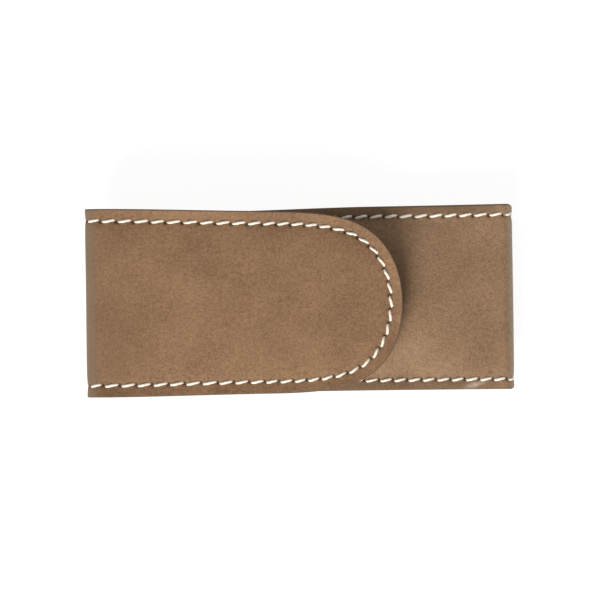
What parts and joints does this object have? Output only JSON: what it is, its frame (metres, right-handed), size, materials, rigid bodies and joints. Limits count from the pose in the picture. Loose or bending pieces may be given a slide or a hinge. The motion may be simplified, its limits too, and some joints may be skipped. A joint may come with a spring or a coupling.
{
  "type": "leather flap case",
  "caption": "Slim stitched leather case for a small instrument: lined pouch, tongue-shaped flap that folds open on its end wall, hidden snap and a belt loop on the back.",
  "frame": {"origin": "middle of the case's outline, on the flat outer face of the belt loop that it rests on", "axes": "+X along the case from the flap's fold to the closed end, +Y across it, +Z out of its front"},
  "size_m": [0.13, 0.0573, 0.024],
  "materials": {
    "nubuck_leather": "matte waxed nubuck, mid brown",
    "suede_lining": "dark grey suede",
    "waxed_thread": "waxed linen thread, cream",
    "nickel": "nickel-plated brass, satin",
    "spring_wire": "spring steel wire"
  },
  "bodies": {
    "case": {"back_panel": "nubuck_leather", "front_panel": "nubuck_leather", "end_fold": "nubuck_leather", "back_lining": "suede_lining", "front_lining": "suede_lining", "upper_seam_thread": "waxed_thread", "lower_seam_thread": "waxed_thread", "snap_stud": "nickel", "snap_eyelet": "nickel", "belt_loop": "nubuck_leather", "left_loop_thread": "waxed_thread", "right_loop_thread": "waxed_thread"},
    "spine": {"flap_spine": "nubuck_leather", "spine_lining": "suede_lining", "upper_spine_thread": "waxed_thread", "lower_spine_thread": "waxed_thread"},
    "flap": {"flap_leather": "nubuck_leather", "flap_lining": "suede_lining", "flap_seam_thread": "waxed_thread", "snap_cap": "nickel", "snap_socket": "nickel", "snap_ring_spring": "spring_wire"}
  },
  "joints": [
    {"name": "back_fold", "type": "hinge", "parent": "case", "child": "spine", "pos_m": [-0.06357, 0, 0.00843], "axis": [0, -1, 0], "range_deg": [0, 90]},
    {"name": "flap_fold", "type": "hinge", "parent": "spine", "child": "flap", "pos_m": [-0.06357, 0, 0.02097], "axis": [0, -1, 0], "range_deg": [0, 90]}
  ],
  "couplings": [
    {"joint": "back_fold", "follows": "flap_fold", "ratio": 1}
  ]
}
